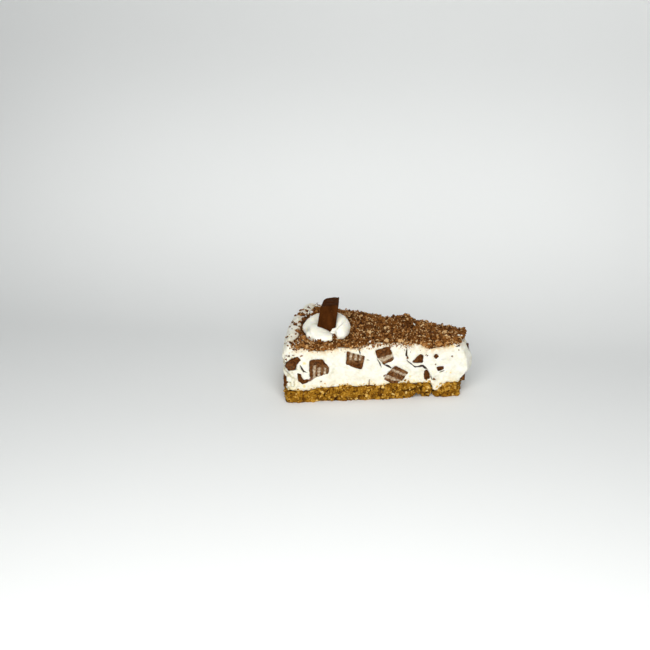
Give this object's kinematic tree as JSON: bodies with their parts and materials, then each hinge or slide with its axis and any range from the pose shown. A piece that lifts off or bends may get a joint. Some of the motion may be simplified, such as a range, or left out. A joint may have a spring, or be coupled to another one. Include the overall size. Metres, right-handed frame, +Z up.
{
  "type": "slice of cheesecake with chocolate wafer pieces",
  "caption": "Wedge of unbaked cheesecake: crumb base, pale cream filling set with pieces of chocolate wafer bar, grated chocolate on top, and a cream rosette holding a wafer finger.",
  "frame": {"origin": "centre of the footprint box, on the flat underside that the slice rests on", "axes": "+X from the rim to the tip, the cut face seen in the picture faces -Y, +Z up"},
  "size_m": [0.1077, 0.0696, 0.0542],
  "materials": {
    "biscuit": "matte",
    "cream": "matte",
    "grated_chocolate": "matte",
    "whipped_cream": "matte",
    "chocolate": "matte",
    "broken_chocolate": "matte",
    "wafer": "matte"
  },
  "bodies": {
    "root": {"biscuit_base_main": "biscuit", "biscuit_base_lump": "biscuit", "biscuit_base_tip": "biscuit", "cream_filling": "cream", "grated_chocolate_topping": "grated_chocolate", "cream_rosette": "whipped_cream", "wafer_finger": "chocolate", "bar_piece_1": "broken_chocolate", "bar_piece_2": "broken_chocolate", "bar_piece_3": "chocolate", "bar_piece_4": "chocolate", "bar_piece_5": "chocolate", "bar_piece_6": "chocolate", "bar_piece_7": "broken_chocolate", "bar_piece_8": "broken_chocolate", "bar_piece_9": "broken_chocolate", "bar_piece_10": "broken_chocolate", "far_bar_piece_1": "chocolate", "far_bar_piece_2": "broken_chocolate", "far_bar_piece_3": "chocolate", "far_bar_piece_4": "broken_chocolate", "far_bar_piece_5": "broken_chocolate", "rim_bar_piece_1": "broken_chocolate", "rim_bar_piece_2": "broken_chocolate", "rim_bar_piece_3": "broken_chocolate", "tip_bar_piece_1": "broken_chocolate", "tip_bar_piece_2": "broken_chocolate", "bar_piece_3_wafer_1": "wafer", "bar_piece_3_wafer_2": "wafer", "bar_piece_3_wafer_3": "wafer", "bar_piece_4_wafer_1": "wafer", "bar_piece_4_wafer_2": "wafer", "bar_piece_4_wafer_3": "wafer", "bar_piece_5_wafer_1": "wafer", "bar_piece_6_wafer_1": "wafer", "bar_piece_6_wafer_2": "wafer", "far_bar_piece_1_wafer_1": "wafer", "far_bar_piece_3_wafer_1": "wafer", "far_bar_piece_3_wafer_2": "wafer"}
  },
  "joints": []
}
